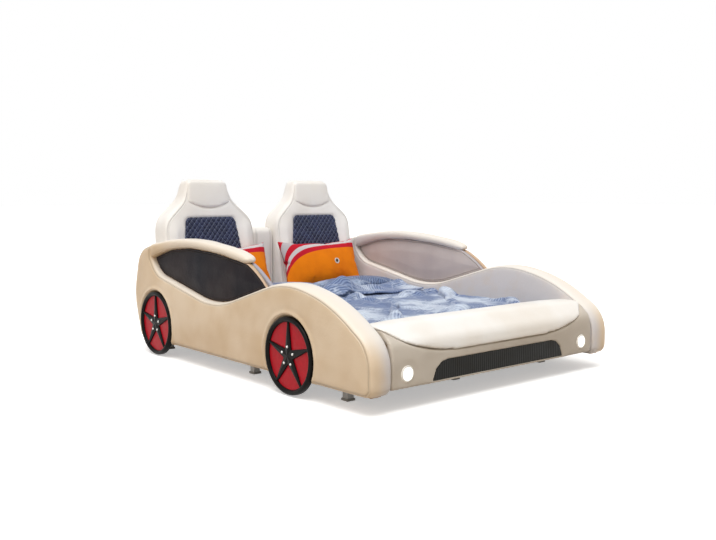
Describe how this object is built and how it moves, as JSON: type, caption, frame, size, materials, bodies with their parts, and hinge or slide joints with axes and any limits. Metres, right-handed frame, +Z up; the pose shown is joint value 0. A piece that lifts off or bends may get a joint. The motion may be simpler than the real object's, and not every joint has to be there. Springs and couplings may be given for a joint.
{
  "type": "car bed for children",
  "caption": "Upholstered car-shaped bed: padded sides with windows and star wheels, bonnet with lamps, seat-shaped headboard, mattress and bedding.",
  "frame": {"origin": "on the floor under the centre of the bed", "axes": "+Z up; the bonnet faces -Y and the headboard +Y; +X is the bed's left side, as a driver sits"},
  "size_m": [1.818, 2.315, 1.0855],
  "materials": {
    "black_leather": "satin",
    "black_plastic": "satin",
    "blue_fabric": "matte",
    "cream_leather": "satin",
    "foot_rubber": "matte",
    "frame_steel": "satin",
    "grille_black": "gloss",
    "lamp_white": "gloss",
    "lead_rubber": "matte",
    "led_board": "matte",
    "lens_white": "frosted",
    "mattress_fabric": "matte",
    "navy_leather": "satin",
    "orange_fabric": "matte",
    "red_gloss": "gloss",
    "silver_plastic": "gloss",
    "slat_wood": "matte",
    "timber": "raw",
    "white_leather": "satin",
    "white_plastic": "matte",
    "zinc_steel": "brushed"
  },
  "bodies": {
    "bed": {"battery_box": "black_plastic", "bonnet_board": "timber", "bonnet_pad": "white_leather", "bumper_pad": "white_leather", "centre_beam": "frame_steel", "console_pad": "cream_leather", "cross_rails": "frame_steel", "feet": "foot_rubber", "foot_board": "timber", "frame_bolts": "zinc_steel", "front_board": "timber", "grille_panel": "grille_black", "head_board": "timber", "headrest_pads": "cream_leather", "lamp_housings": "lamp_white", "lamp_leads": "lead_rubber", "lamp_leds": "led_board", "lamp_lenses": "lens_white", "lead_clips": "white_plastic", "legs": "frame_steel", "lug_caps": "silver_plastic", "roof_rail_left": "cream_leather", "roof_rail_right": "cream_leather", "seat_board_left": "timber", "seat_board_right": "timber", "seat_pad_left": "cream_leather", "seat_pad_right": "cream_leather", "seat_quilts": "navy_leather", "side_core_left": "timber", "side_core_right": "timber", "side_pad_left": "cream_leather", "side_pad_right": "cream_leather", "side_rail_left": "frame_steel", "side_rail_right": "frame_steel", "slats": "slat_wood", "wheel_discs": "red_gloss", "wheel_rims": "black_plastic", "window_board_left": "timber", "window_board_right": "timber", "window_inner_left": "cream_leather", "window_inner_right": "cream_leather", "window_outer_left": "black_leather", "window_outer_right": "black_leather"},
    "bedding": {"duvet": "blue_fabric", "mattress": "mattress_fabric", "pillow_blue_left": "blue_fabric", "pillow_blue_right": "blue_fabric", "pillow_orange_left": "orange_fabric", "pillow_orange_right": "orange_fabric"},
    "rocker": {"rocker_switch": "black_plastic"}
  },
  "joints": [
    {"name": "bedding_lift", "type": "slide", "parent": "bed", "child": "bedding", "axis": [0, 0, 1], "range_m": [0, 0.45]},
    {"name": "rocker_pivot", "type": "hinge", "parent": "bed", "child": "rocker", "pos_m": [0, -0.9595, 0.123], "axis": [1, 0, 0], "range_deg": [0, 19]}
  ]
}
